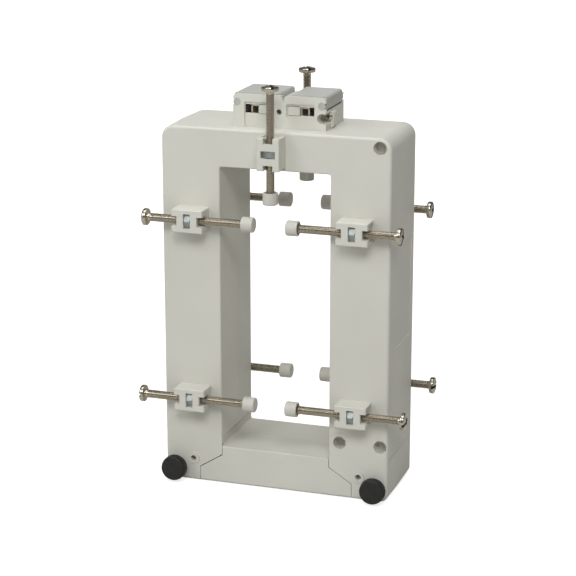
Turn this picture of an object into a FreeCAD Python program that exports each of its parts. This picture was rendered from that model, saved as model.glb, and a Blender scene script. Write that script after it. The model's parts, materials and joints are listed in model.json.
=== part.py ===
# Split-core current transformer: a tall moulded housing round a rectangular window,
# with a removable yoke at its foot, ten busbar clamp screws and a terminal block on top.
# Millimetres. X runs across the window, Y from front to back, Z up from the base.
# The origin is the middle of the base, under the window, half way through the depth.

import FreeCAD, Part
import math
import os

V = FreeCAD.Vector

# Housing and window
window_width = 80.0
window_height = 204.0
limb_width = 42.5
top_bar = 27.0
yoke_bar = 28.0
front_depth = 30.5
rear_depth = 33.5
wall = 3.0
draft = 0.5
top_corner_radius = 9.0
foot_corner_radius = 5.0
window_corner_radius = 1.5
face_edge_radius = 2.0
window_edge_chamfer = 0.6
parting_chamfer = 0.4

# Joint between the upper housing and the yoke
shoulder_rise = 2.0
lip_rise = 4.0
lip_thickness = 3.0
cheek_thickness = 4.0
pad_drop = 6.7
pad_slope_width = 16.8
pad_slope_height = 10.7
seam_gap = 0.4
end_wall = 2.5

# Cores, windings and their bobbins
core_band = 18.5
core_depth = 32.0
core_inner_radius = 4.0
core_clearance = 0.3
bobbin_wall = 1.5
bobbin_flange = 2.0
bobbin_foot_gap = 30.0
bobbin_head_gap = 6.0
bobbin_clearance = 0.4
winding_thickness = 5.0
winding_radius = 4.0
spring_rise = 2.2
spring_thickness = 0.5
spring_length = 56.0
spring_width = 16.0
lead_radius = 0.8
lead_bend = 3.0
lead_height = 11.0
lead_flange_offset = 9.0
lead_hole_clearance = 0.3

# Busbar clamps
clamp_inset = 37.0
holder_inset = 7.9
holder_length = 22.6
holder_width = 16.2
holder_rise = 14.4
holder_corner_radius = 0.8
holder_edge_chamfer = 0.5
holder_face_wall = 4.0
holder_end_wall = 2.2
holder_end_recess = 1.2
screw_standoff = 8.7
screw_radius = 3.0
screw_hole_clearance = 0.2
nut_bore_clearance = 0.1
end_slot_length = 4.0
end_slot_clearance = 0.4
nut_flats = 10.0
nut_height = 4.8
nut_end_clearance = 0.15
nut_side_clearance = 0.2
upper_screw_length = 75.0
upper_screw_reach = 30.6
lower_screw_length = 80.0
lower_screw_reach = 35.1
top_screw_length = 75.0
top_screw_reach = 42.8
screw_head_radius = 6.0
screw_head_height = 4.4
screw_head_rim = 1.8
screw_head_crown_radius = 3.4
cap_radius = 5.3
cap_length = 8.4
cap_floor = 3.0
cap_bore_clearance = 0.05

# Thumb screws that hold the yoke
thumb_inset = 8.5
thumb_z = 10.4
knob_radius = 9.0
knob_thickness = 7.5
knob_standoff = 3.5
knob_teeth = 30
knob_tooth_depth = 0.5
knob_rim_radius = 8.7
knob_rim_thickness = 0.9
knob_rim_chamfer = 0.4
knob_neck_radius = 5.5
stud_radius = 3.0
stud_length = 22.0
stud_hole_clearance = 0.3
stud_bore_clearance = 0.08
insert_radius = 4.6
insert_length = 10.0

# Guide bosses in the cheeks and accessory sockets in the front face
guide_inset = 20.8
guide_z = 16.7
guide_radius = 4.2
guide_rise = 0.8
guide_hole_radius = 2.1
socket_radius = 4.6
socket_depth = 9.0
socket_wall = 2.0
socket_floor = 1.5
socket_top_inset = 6.8
socket_corner_inset = 8.1
socket_limb_z = 40.6
socket_inner_inset = 7.6
socket_outer_inset = 5.5

# Recessed field on the right side
field_front = -24.0
field_back = 24.0
field_bottom = 108.4
field_top = 180.0
field_depth = 0.3

# Terminal block
block_half_width = 33.3
block_front = 21.8
block_back = 20.0
seat_rise = 1.0
block_floor = 2.0
block_wall = 2.0
block_front_wall = 2.5
block_side_height = 12.3
block_lip_height = 12.5
block_lip_thickness = 0.9
block_front_height = 21.8
block_corner_radius = 3.0
block_gap_left = -1.0
block_gap_right = 6.0
partition_height = 18.6
cover_top = 22.3
cover_thickness = 2.4
cover_skirt = 8.4
cover_back = 16.5
cover_clearance = 0.2
cover_edge_radius = 2.0
seal_lug_reach = 3.4
seal_lug_thickness = 2.2
seal_lug_drop = 0.8
seal_lug_gap = 0.4
seal_lug_hole_radius = 0.7
pivot_inset = 2.9
pivot_z = 16.2
pivot_radius = 2.6
pivot_clearance = 0.1
pivot_slot_half = 2.0
pivot_ear_width = 6.0
pivot_ear_height = 19.4
recess_inset = 8.1
recess_width = 20.2
recess_bottom = 8.0
recess_top = 16.6
recess_depth = 1.1
recess_radius = 1.6
chute_foot_width = 12.2
opening_margin = 0.4
opening_width = 9.7
opening_bottom = 8.8
opening_top = 14.8
plug_gap = 0.5
plug_width = 8.4
plug_clearance = 0.4
plug_thickness = 1.8
plug_corner_radius = 0.8
seal_hole_z = 10.6
seal_hole_radius = 1.9
vee_x = 3.2
vee_half_width = 2.5
vee_depth = 5.2

# Terminal clamps
cage_inset = 15.5
cage_width = 6.2
cage_length = 8.0
cage_bottom = 6.4
cage_height = 8.0
cage_wall = 1.0
cage_front_gap = 0.5
terminal_screw_radius = 2.0
terminal_head_radius = 3.2
terminal_head_height = 2.4
terminal_shank = 4.0
terminal_head_lift = 2.8

# Screws of the terminal block
block_screw_inset = 1.3
block_screw_z = 7.5
block_screw_radius = 1.25
block_screw_length = 7.0
block_screw_head_radius = 2.7
block_screw_head_height = 2.0
block_screw_head_rim = 0.7
groove_radius = 3.4
groove_inset = 2.9
groove_depth = 11.8
corner_block_width = 8.0
corner_block_length = 19.5
lug_reach = 1.8
lug_height = 11.0
lug_corner_radius = 1.5
lug_front_wall = 1.0
post_gap = 0.2
post_length = 4.8
post_half_width = 2.1
post_height = 9.8

# Places that follow from the sizes above
half_width = window_width / 2 + limb_width
half_window = window_width / 2
window_top = yoke_bar + window_height
height = window_top + top_bar
depth = front_depth + rear_depth
front_y = -depth / 2
back_y = depth / 2
parting_y = front_y + front_depth
shoulder_z = yoke_bar + shoulder_rise
lip_z = shoulder_z + lip_rise
limb_x = half_window + limb_width / 2
thumb_x = half_width - thumb_inset
guide_x = half_width - guide_inset
seat_z = height + seat_rise
pivot_x = block_half_width - pivot_inset
recess_outer_x = block_half_width - recess_inset
recess_inner_x = recess_outer_x - recess_width
chute_foot_x = recess_outer_x - chute_foot_width
opening_outer_x = recess_outer_x - opening_margin
opening_inner_x = opening_outer_x - opening_width
plug_outer_x = opening_inner_x - plug_gap
plug_inner_x = plug_outer_x - plug_width
cage_x = block_half_width - cage_inset
block_screw_x = block_half_width - block_screw_inset
groove_inner_x = block_half_width - groove_inset
far = 4 * height


def box(x0, x1, y0, y1, z0, z1):
    """Block between two corners, given in any order."""
    low = V(min(x0, x1), min(y0, y1), min(z0, z1))
    return Part.makeBox(abs(x1 - x0), abs(y1 - y0), abs(z1 - z0), low)


def rod(radius, start, end):
    """Round bar from one point to another."""
    axis = end - start
    return Part.makeCylinder(radius, axis.Length, start, axis)


def rounded_wire(points, radii, y):
    """Closed outline in the plane at y, with an arc of its own radius at each corner."""
    corners = []
    count = len(points)
    for i in range(count):
        here = V(points[i][0], y, points[i][1])
        before = V(points[i - 1][0], y, points[i - 1][1]) - here
        after = V(points[(i + 1) % count][0], y, points[(i + 1) % count][1]) - here
        before.normalize()
        after.normalize()
        radius = radii[i]
        half_angle = before.getAngle(after) / 2
        inward = before + after
        inward.normalize()
        start = here + before * (radius / math.tan(half_angle))
        end = here + after * (radius / math.tan(half_angle))
        middle = here + inward * (radius / math.sin(half_angle) - radius)
        corners.append((start, middle, end))
    edges = []
    for i in range(count):
        start, middle, end = corners[i]
        if radii[i] > 0:
            edges.append(Part.Arc(start, middle, end).toShape())
        following = corners[(i + 1) % count][0]
        if end.distanceToPoint(following) > 1e-6:
            edges.append(Part.makeLine(end, following))
    return Part.Wire(edges)


def prism(points, y0, y1):
    """Straight prism of an outline in X and Z, between two depths."""
    wire = rounded_wire(points, [0] * len(points), y0)
    return Part.Face(wire).extrude(V(0, y1 - y0, 0))


def rounded_prism(x0, x1, z0, z1, radius, y0, y1):
    """Rectangle in X and Z with equal round corners, carried from y0 to y1."""
    points = [(x0, z0), (x1, z0), (x1, z1), (x0, z1)]
    wire = rounded_wire(points, [radius] * 4, y0)
    return Part.Face(wire).extrude(V(0, y1 - y0, 0))


def mirrored(shape):
    """The same shape on the other side of the window."""
    return shape.mirror(V(0, 0, 0), V(1, 0, 0))


def half_turned(shape):
    """The same shape turned half round about the upright axis of the terminal block."""
    return shape.rotated(V(0, (block_back - block_front) / 2, 0), V(0, 0, 1), 180)


def fused(shapes):
    """One clean solid from touching or overlapping shapes."""
    whole = shapes[0].multiFuse(shapes[1:]) if len(shapes) > 1 else shapes[0]
    return whole.removeSplitter()


def as_solid(shape):
    """The single solid inside a compound left by a boolean."""
    return max(shape.Solids, key=lambda solid: solid.Volume)


# Outer forms

def drafted_block(half_x, low, high, grow, face_y):
    """Block that spreads by grow from the face plane to the parting plane."""
    near = (-half_x, half_x, low, high)
    far_side = (-half_x - grow, half_x + grow, low, high + grow)
    first, second = (near, far_side) if face_y < 0 else (far_side, near)
    return Part.makeWedge(first[0], min(face_y, parting_y), first[2], second[2], second[0],
                          first[1], max(face_y, parting_y), first[3], second[3], second[1])


def long_edges(shape, low, high):
    """Edges that run from front to back and lie between two heights."""
    span = depth / 4
    return [edge for edge in shape.Edges
            if abs(edge.Vertexes[0].Y - edge.Vertexes[-1].Y) > span and low < edge.CenterOfMass.z < high]


def edges_at(shape, y):
    """Edges that lie in the plane at y."""
    return [edge for edge in shape.Edges
            if abs(edge.BoundBox.YMin - y) < 1e-4 and abs(edge.BoundBox.YMax - y) < 1e-4]


def is_by_window(point):
    """Whether a point lies in the window or within a wall of it, seen from the front."""
    return abs(point.x) < half_window + wall and yoke_bar - wall < point.z < window_top + wall


def envelope(face_y):
    """Half of the closed outer form: a drafted block with the window through it.

    The rear half has a small chamfer all along the parting line.
    """
    middle = height / 2
    block = drafted_block(half_width, 0, height, draft, face_y)
    block = block.makeFillet(top_corner_radius, long_edges(block, middle, far))
    block = block.makeFillet(foot_corner_radius, long_edges(block, -far, foot_corner_radius))
    block = block.makeFillet(face_edge_radius, edges_at(block, face_y))
    opening = drafted_block(half_window, yoke_bar, window_top, -draft, face_y)
    opening = opening.makeFillet(window_corner_radius, long_edges(opening, -far, far))
    frame = block.cut(opening)
    mouth = [edge for edge in edges_at(frame, face_y) if is_by_window(edge.CenterOfMass)]
    frame = frame.makeChamfer(window_edge_chamfer, mouth)
    if face_y > 0:
        frame = frame.makeChamfer(parting_chamfer, edges_at(frame, parting_y))
    return frame


def hollow(face_y):
    """Space inside one half of the housing, between its outer walls and the window walls."""
    inner_y = face_y + wall if face_y < 0 else face_y - wall
    side = half_width - wall
    space = box(-side, side, inner_y, parting_y, wall, height - wall)
    space = space.makeFillet(top_corner_radius - wall, long_edges(space, height / 2, far))
    reach = half_window + wall
    return space.cut(box(-reach, reach, inner_y, parting_y, yoke_bar - wall, window_top + wall))


def mid_wall_form(face_y):
    """Closed form whose sides run half way through the outer walls, to trim what stands behind them."""
    side = half_width - wall / 2
    return rounded_prism(-side, side, wall / 2, height - wall / 2, top_corner_radius - wall / 2,
                         face_y + wall / 2, parting_y)


def yoke_zone(face_y, gap):
    """Space that the yoke takes in one half; gap widens it for the housing's side of the seam."""
    top = shoulder_z + gap
    if face_y < 0:
        near_y = front_y + cheek_thickness - gap
    else:
        near_y = back_y + wall
    shapes = [box(-far, far, near_y, parting_y, -wall, top)]
    for side in (-1, 1):
        inner = side * (half_window - 2 * draft)
        outer = side * (half_window + lip_thickness + gap)
        shapes.append(box(inner, outer, near_y, parting_y, 0, lip_z + gap))
    if face_y < 0:
        half = half_window - seam_gap + gap
        slope_top = yoke_bar - pad_drop
        slope_foot = slope_top - pad_slope_height
        foot_half = half + pad_slope_width
        pad = [(-foot_half, -wall), (foot_half, -wall), (foot_half, slope_foot + gap),
               (half, slope_top + gap), (half, yoke_bar + wall), (-half, yoke_bar + wall),
               (-half, slope_top + gap), (-foot_half, slope_foot + gap)]
        shapes.append(prism(pad, face_y - wall, near_y + wall))
    return fused(shapes)


# Busbar clamps: each stands at a centre on a housing face, with its head side along one axis

def clamp_places():
    """Name, centre on the face, head direction, outward direction, reach and screw length."""
    side_x = half_window + holder_inset + holder_length / 2
    upper_z = window_top - clamp_inset
    lower_z = yoke_bar + clamp_inset
    top_z = window_top + top_bar / 2
    places = []
    for face, y, out in (("front", front_y, V(0, -1, 0)), ("back", back_y, V(0, 1, 0))):
        for side, sign in (("left", -1), ("right", 1)):
            along = V(sign, 0, 0)
            places.append((face + "_" + side + "_upper", V(sign * side_x, y, upper_z), along, out,
                           upper_screw_reach, upper_screw_length))
            places.append((face + "_" + side + "_lower", V(sign * side_x, y, lower_z), along, out,
                           lower_screw_reach, lower_screw_length))
        places.append((face + "_top", V(0, y, top_z), V(0, 0, 1), out, top_screw_reach, top_screw_length))
    return places


def placed(shape, centre, along, out):
    """Carry a shape from its own frame, X along the screw and Y outward, to its clamp."""
    across = along.cross(out)
    matrix = FreeCAD.Matrix(along.x, out.x, across.x, centre.x,
                            along.y, out.y, across.y, centre.y,
                            along.z, out.z, across.z, centre.z,
                            0, 0, 0, 1)
    return shape.transformed(matrix)


def nut_corner():
    """Distance from the middle of a nut to its corners."""
    return nut_flats / math.sqrt(3)


def holder():
    """Raised block that takes the nut, with an open slot at each end and a recess in the end on the head side."""
    half = holder_length / 2
    block = box(-half, half, -wall / 2, holder_rise, -holder_width / 2, holder_width / 2)
    upright = [edge for edge in block.Edges if edge.BoundBox.YLength > holder_rise]
    block = block.makeFillet(holder_corner_radius, upright)
    block = block.makeChamfer(holder_edge_chamfer, edges_at(block, holder_rise))
    cuts = []
    slot_half = screw_radius + end_slot_clearance
    for sign in (-1, 1):
        start = V(sign * (half - end_slot_length), screw_standoff, 0)
        end = V(sign * (half + wall), screw_standoff, 0)
        cuts.append(rod(slot_half, start, end))
        cuts.append(box(start.x, end.x, screw_standoff, holder_rise + wall, -slot_half, slot_half))
    inner_half = holder_width / 2 - holder_end_wall
    inner_rise = holder_rise - holder_face_wall
    cuts.append(box(half - holder_end_recess, half + wall, 0, inner_rise, -inner_half, inner_half))
    pocket_length = nut_height / 2 + nut_end_clearance
    pocket_half = nut_flats / 2 + nut_side_clearance
    pocket_floor = screw_standoff - nut_corner() - nut_end_clearance
    cuts.append(box(-pocket_length, pocket_length, pocket_floor, holder_rise + wall,
                    -pocket_half, pocket_half))
    hole = screw_radius + screw_hole_clearance
    cuts.append(rod(hole, V(-half, screw_standoff, 0), V(half, screw_standoff, 0)))
    return block.cut(fused(cuts))


def clamp_nut():
    """Hexagon nut with one corner outward."""
    points = []
    for i in range(6):
        angle = math.radians(60 * i)
        points.append(V(-nut_height / 2, screw_standoff + nut_corner() * math.cos(angle),
                        nut_corner() * math.sin(angle)))
    points.append(points[0])
    body = Part.Face(Part.makePolygon(points)).extrude(V(nut_height, 0, 0))
    bore = screw_radius + nut_bore_clearance
    return body.cut(rod(bore, V(-nut_height, screw_standoff, 0), V(nut_height, screw_standoff, 0)))


def clamp_screw(reach, length):
    """Pan-head screw lying along X at its stand-off from the face."""
    y = screw_standoff
    shank = rod(screw_radius, V(reach - length, y, 0), V(reach, y, 0))
    rim = reach + screw_head_height - screw_head_rim
    band = rod(screw_head_radius, V(reach, y, 0), V(rim, y, 0))
    crown = Part.makeCone(screw_head_radius, screw_head_crown_radius, screw_head_rim,
                          V(rim, y, 0), V(1, 0, 0))
    return fused([shank, band, crown])


def clamp_cap(reach, length):
    """Insulating cup pushed on the tip of a clamp screw."""
    y = screw_standoff
    tip = reach - length
    end = tip - cap_floor
    mouth = end + cap_length
    cup = rod(cap_radius, V(end, y, 0), V(mouth, y, 0))
    return cup.cut(rod(screw_radius + cap_bore_clearance, V(tip, y, 0), V(mouth + wall, y, 0)))


# Housing shells

def core_opening(y0, y1, z0, z1):
    """Holes that let both legs of a core through a wall."""
    half_band = core_band / 2 + core_clearance
    half_depth = core_depth / 2 + core_clearance
    low = max(min(y0, y1), -half_depth)
    high = min(max(y0, y1), half_depth)
    right = box(limb_x - half_band, limb_x + half_band, low, high, z0, z1)
    return [right, mirrored(right)]


def sockets():
    """Centres of the blind round sockets in the front face."""
    return [(half_width - socket_corner_inset, height - socket_top_inset),
            (half_window + socket_inner_inset, socket_limb_z),
            (half_width - socket_outer_inset, socket_limb_z)]


def seat(y0, y1):
    """Raised flat that the terminal block stands on."""
    return box(-block_half_width, block_half_width, y0, y1, height - wall / 2, seat_z)


def groove_end():
    """Depth of the seat of the right-hand block screw's head."""
    return -block_front + groove_depth


def post():
    """Upright of the housing that the right-hand block screw bites into."""
    start = groove_end() + lug_front_wall + post_gap
    return box(block_screw_x - post_half_width, block_screw_x + post_half_width, start, start + post_length,
               height - wall / 2, seat_z + post_height)


def block_screw_hole(clearance):
    """Round hole for the right-hand block screw."""
    start = V(block_screw_x, groove_end() - wall, seat_z + block_screw_z)
    return rod(block_screw_radius + clearance, start, start + V(0, wall + block_screw_length + wall, 0))


def lead_x():
    """Distance from the middle at which the leads rise beside the terminal cages."""
    return cage_x + cage_width / 2 + lead_radius


def lead_y():
    """Depth at which the leads rise, just clear of the front of the core."""
    return -core_depth / 2 - core_clearance - lead_radius


def upper_shell(face_y):
    """Front or rear half of the upper housing, with its five nut holders."""
    front = face_y < 0
    shell = envelope(face_y).cut(yoke_zone(face_y, seam_gap))
    space = hollow(face_y).common(box(-far, far, -far, far, shoulder_z + seam_gap + end_wall, far))
    shell = shell.cut(space)
    face = "front" if front else "back"
    additions = []
    for name, centre, along, out, reach, length in clamp_places():
        if name.startswith(face):
            additions.append(placed(holder(), centre, along, out))
    if front:
        additions.append(seat(-block_front, parting_y))
        reach = socket_radius + socket_wall
        for x, z in sockets():
            block = box(x - reach, x + reach, face_y + wall / 2, face_y + socket_depth + socket_floor,
                        z - reach, z + reach)
            additions.append(block.common(mid_wall_form(face_y)))
        for sign in (-1, 1):
            additions.append(rod(guide_radius, V(sign * guide_x, face_y - guide_rise, guide_z),
                                 V(sign * guide_x, face_y + wall / 2, guide_z)))
    else:
        additions.append(seat(parting_y, block_back))
    additions.append(post() if front else half_turned(post()))
    shell = fused([shell] + additions)
    cuts = core_opening(face_y, parting_y, shoulder_z, shoulder_z + seam_gap + end_wall + wall)
    cuts.append(block_screw_hole(0) if front else half_turned(block_screw_hole(0)))
    cuts.append(box(half_width - field_depth, far, field_front, field_back, field_bottom, field_top))
    if front:
        for x, z in sockets():
            cuts.append(rod(socket_radius, V(x, face_y - wall, z), V(x, face_y + socket_depth, z)))
        for sign in (-1, 1):
            cuts.append(rod(guide_hole_radius, V(sign * guide_x, face_y - wall, guide_z),
                            V(sign * guide_x, face_y + 2 * cheek_thickness, guide_z)))
            cuts.append(rod(stud_radius + stud_hole_clearance, V(sign * thumb_x, face_y - wall, thumb_z),
                            V(sign * thumb_x, face_y + 2 * cheek_thickness, thumb_z)))
            hole = lead_radius + lead_hole_clearance
            cuts.append(rod(hole, V(sign * lead_x(), lead_y(), height - 2 * wall),
                            V(sign * lead_x(), lead_y(), seat_z + wall)))
    return as_solid(shell.cut(fused(cuts)))


def yoke_shell(face_y):
    """Front or rear half of the yoke housing."""
    front = face_y < 0
    shell = envelope(face_y).common(yoke_zone(face_y, 0))
    inner_y = front_y + cheek_thickness + wall if front else back_y - wall
    inner_x = half_width - wall
    ceiling = yoke_bar - wall
    room = box(-inner_x, inner_x, inner_y, parting_y, wall, ceiling)
    for side in (-1, 1):
        leg = side * limb_x
        reach = limb_width / 2 - lip_thickness
        room = room.fuse(box(leg - reach, leg + reach, inner_y, parting_y, wall, shoulder_z - end_wall))
    shell = shell.cut(room)
    seat_y = front_y + cheek_thickness
    if front:
        for sign in (-1, 1):
            sleeve = rod(insert_radius + wall / 2, V(sign * thumb_x, seat_y + wall / 2, thumb_z),
                         V(sign * thumb_x, seat_y + insert_length, thumb_z))
            shell = shell.fuse(sleeve)
    cuts = core_opening(face_y, parting_y, ceiling, shoulder_z + wall)
    if front:
        for sign in (-1, 1):
            cuts.append(rod(insert_radius, V(sign * thumb_x, seat_y - wall, thumb_z),
                            V(sign * thumb_x, seat_y + insert_length, thumb_z)))
            cuts.append(rod(guide_hole_radius, V(sign * guide_x, front_y, guide_z),
                            V(sign * guide_x, seat_y + wall / 2, guide_z)))
    return as_solid(shell.cut(fused(cuts)).removeSplitter())


# Magnetic circuit

def core_ring(low, high, y_half):
    """Rounded rectangular band of wound strip between two heights."""
    inner = limb_x - core_band / 2
    outer = limb_x + core_band / 2
    radius = core_inner_radius + core_band
    outside = rounded_prism(-outer, outer, low, high, radius, -y_half, y_half)
    inside = rounded_prism(-inner, inner, low + core_band, high - core_band, core_inner_radius,
                           -y_half, y_half)
    return outside.cut(inside)


def core_low():
    return wall + spring_rise


def core_high():
    return height - wall - core_clearance


def upper_core():
    """Inverted U of wound strip whose cut ends meet the yoke core."""
    ring = core_ring(core_low(), core_high(), core_depth / 2)
    return as_solid(ring.common(box(-far, far, -far, far, shoulder_z, far)))


def yoke_core():
    """Shallow U of wound strip that closes the core under the window."""
    ring = core_ring(core_low(), core_high(), core_depth / 2)
    return as_solid(ring.common(box(-far, far, -far, far, -far, shoulder_z)))


def bobbin_heights():
    """Undersides of the lower flange and of the upper one."""
    return shoulder_z + bobbin_foot_gap, window_top - bobbin_head_gap


def bobbin():
    """Right-hand coil former: a square tube with a flange at each end."""
    foot, head = bobbin_heights()
    half_x = core_band / 2 + bobbin_clearance
    half_y = core_depth / 2 + bobbin_clearance
    tube = box(limb_x - half_x - bobbin_wall, limb_x + half_x + bobbin_wall,
               -half_y - bobbin_wall, half_y + bobbin_wall, foot, head + bobbin_flange)
    reach_x = limb_width / 2 - wall - bobbin_clearance
    reach_y = depth / 2 - wall - bobbin_clearance
    flanges = []
    for z in (foot, head):
        flanges.append(box(limb_x - reach_x, limb_x + reach_x, -reach_y, reach_y, z, z + bobbin_flange))
    hole = box(limb_x - half_x, limb_x + half_x, -half_y, half_y, foot - wall, head + 2 * wall)
    return fused([tube] + flanges).cut(hole)


def winding():
    """Right-hand secondary winding, wound full between the flanges."""
    foot, head = bobbin_heights()
    half_x = core_band / 2 + bobbin_clearance + bobbin_wall
    half_y = core_depth / 2 + bobbin_clearance + bobbin_wall
    reach_x = half_x + winding_thickness
    reach_y = half_y + winding_thickness
    outer = box(limb_x - reach_x, limb_x + reach_x, -reach_y, reach_y, foot + bobbin_flange, head)
    upright = [edge for edge in outer.Edges if abs(edge.Vertexes[0].Z - edge.Vertexes[1].Z) > wall]
    outer = outer.makeFillet(winding_radius, upright)
    return outer.cut(box(limb_x - half_x, limb_x + half_x, -half_y, half_y, 0, height))


def bent_rod(points, radius, bend):
    """Round wire along straight runs, with each corner cut off at the length of the bend."""
    route = [points[0]]
    for before, here, after in zip(points, points[1:], points[2:]):
        route.append(here + (before - here).normalize() * bend)
        route.append(here + (after - here).normalize() * bend)
    route.append(points[-1])
    section = Part.Wire(Part.makeCircle(radius, route[0], route[1] - route[0]))
    sharp_corners = 1
    return Part.Wire(Part.makePolygon(route)).makePipeShell([section], True, False, sharp_corners)


def lead():
    """Right-hand secondary lead, from the top of its bobbin to the terminal cage."""
    head = bobbin_heights()[1] + bobbin_flange
    run_z = window_top + lead_height
    x = limb_x - lead_flange_offset
    y = lead_y()
    end_z = seat_z + cage_bottom + cage_height / 2
    points = [V(x, y, head), V(x, y, run_z), V(lead_x(), y, run_z), V(lead_x(), y, end_z)]
    return bent_rod(points, lead_radius, lead_bend)


def winding_link():
    """Lead that joins the two windings behind the core."""
    head = bobbin_heights()[1] + bobbin_flange
    run_z = window_top + lead_height
    x = limb_x - lead_flange_offset
    y = -lead_y()
    points = [V(-x, y, head), V(-x, y, run_z), V(x, y, run_z), V(x, y, head)]
    return bent_rod(points, lead_radius, lead_bend)


def yoke_spring():
    """Bowed leaf spring that presses the yoke core up against the upper core."""
    half = spring_length / 2
    crown = wall + spring_rise
    under = wall + spring_rise - spring_thickness
    end_z = wall + spring_thickness
    top = Part.Arc(V(-half, 0, end_z), V(0, 0, crown), V(half, 0, end_z)).toShape()
    low = Part.Arc(V(half, 0, wall), V(0, 0, under), V(-half, 0, wall)).toShape()
    right = Part.makeLine(V(half, 0, end_z), V(half, 0, wall))
    left = Part.makeLine(V(-half, 0, wall), V(-half, 0, end_z))
    strip = Part.Face(Part.Wire([top, right, low, left])).extrude(V(0, spring_width, 0))
    return strip.translated(V(0, -spring_width / 2, 0))


# Thumb screws

def knob():
    """Right-hand thumb knob: a plain rim in front, a toothed grip and a narrower neck behind."""
    start = front_y - knob_standoff - knob_thickness
    back = front_y - knob_standoff
    points = []
    for i in range(2 * knob_teeth):
        angle = math.pi * i / knob_teeth
        radius = knob_radius - knob_tooth_depth * (i % 2)
        points.append((thumb_x + radius * math.cos(angle), thumb_z + radius * math.sin(angle)))
    grip = prism(points, start + knob_rim_thickness, back)
    rim = rod(knob_rim_radius, V(thumb_x, start, thumb_z), V(thumb_x, start + knob_rim_thickness, thumb_z))
    rim = rim.makeChamfer(knob_rim_chamfer, edges_at(rim, start))
    neck = rod(knob_neck_radius, V(thumb_x, back, thumb_z), V(thumb_x, front_y, thumb_z))
    body = fused([grip, rim, neck])
    return body.cut(rod(stud_radius, V(thumb_x, start + wall, thumb_z), V(thumb_x, 0, thumb_z)))


def stud():
    """Right-hand threaded stud, moulded into its knob."""
    start = front_y - knob_standoff - knob_thickness + wall
    return rod(stud_radius, V(thumb_x, start, thumb_z), V(thumb_x, start + stud_length, thumb_z))


def stud_insert():
    """Right-hand threaded bush in the yoke that the stud draws on."""
    start = front_y + cheek_thickness
    bush = rod(insert_radius, V(thumb_x, start, thumb_z), V(thumb_x, start + insert_length, thumb_z))
    bore = stud_radius + stud_bore_clearance
    end = start + 2 * insert_length
    return bush.cut(rod(bore, V(thumb_x, start - wall, thumb_z), V(thumb_x, end, thumb_z)))


# Terminal block

def wire_entry(inner_x, outer_x, bottom, top, radius, y0, y1):
    """Right-hand cut with round corners in the front wall of the terminal block."""
    return rounded_prism(inner_x, outer_x, seat_z + bottom, seat_z + top, radius, y0, y1)


def right_base_cuts():
    """Cuts of the terminal block that both sides share, for the right-hand side."""
    z = seat_z
    before = -block_front - wall
    wall_back = -block_front + block_front_wall
    recess_floor = -block_front + recess_depth
    outside = block_half_width + wall
    cuts = [wire_entry(recess_inner_x, recess_outer_x, recess_bottom, recess_top, recess_radius,
                       before, recess_floor)]
    chute_top = z + recess_bottom + recess_radius
    chute = [(recess_inner_x, chute_top), (recess_inner_x, z + recess_bottom), (chute_foot_x, z),
             (chute_foot_x, z - wall), (recess_outer_x, z - wall), (recess_outer_x, chute_top)]
    cuts.append(prism(chute, before, recess_floor))
    cuts.append(box(opening_inner_x, opening_outer_x, before, wall_back,
                    z + opening_bottom, z + opening_top))
    gap = plug_clearance
    cuts.append(wire_entry(plug_inner_x - gap, plug_outer_x + gap, opening_bottom - gap, opening_top + gap,
                           plug_corner_radius, before, wall_back))
    axis_z = z + pivot_z
    behind = block_back + wall
    bearing = pivot_radius + pivot_clearance
    cuts.append(rod(bearing, V(pivot_x, before, axis_z), V(pivot_x, behind, axis_z)))
    cuts.append(box(pivot_x, outside, before, behind, axis_z - pivot_slot_half, axis_z + pivot_slot_half))
    cuts.append(rod(lead_radius + lead_hole_clearance, V(lead_x(), lead_y(), z - wall),
                    V(lead_x(), lead_y(), z + 2 * block_floor)))
    return cuts


def corner_cuts():
    """Screwdriver groove, screw hole and post slot at the right-hand front corner."""
    z = seat_z + block_screw_z
    before = -block_front - wall
    outside = block_half_width + lug_reach + wall
    cuts = [rod(groove_radius, V(groove_inner_x, before, z), V(groove_inner_x, groove_end(), z))]
    cuts.append(box(groove_inner_x, outside, before, groove_end(), z - groove_radius, z + groove_radius))
    cuts.append(block_screw_hole(screw_hole_clearance))
    slot_start = groove_end() + lug_front_wall
    slot_half = post_half_width + post_gap
    slot_end = slot_start + post_length + 2 * post_gap
    cuts.append(box(block_screw_x - slot_half, block_screw_x + slot_half, slot_start, slot_end,
                    seat_z - wall, seat_z + post_height + post_gap))
    return cuts


def corner_block():
    """Solid corner round the groove and the screw, with the lug that bulges from the side."""
    start = -block_front
    end = start + corner_block_length
    inner = block_half_width - corner_block_width
    block = box(inner, block_half_width, start, end, seat_z, seat_z + block_side_height)
    lug = rounded_prism(inner, block_half_width + lug_reach, seat_z, seat_z + lug_height, lug_corner_radius,
                        groove_end(), end)
    return block.fuse(lug)


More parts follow.
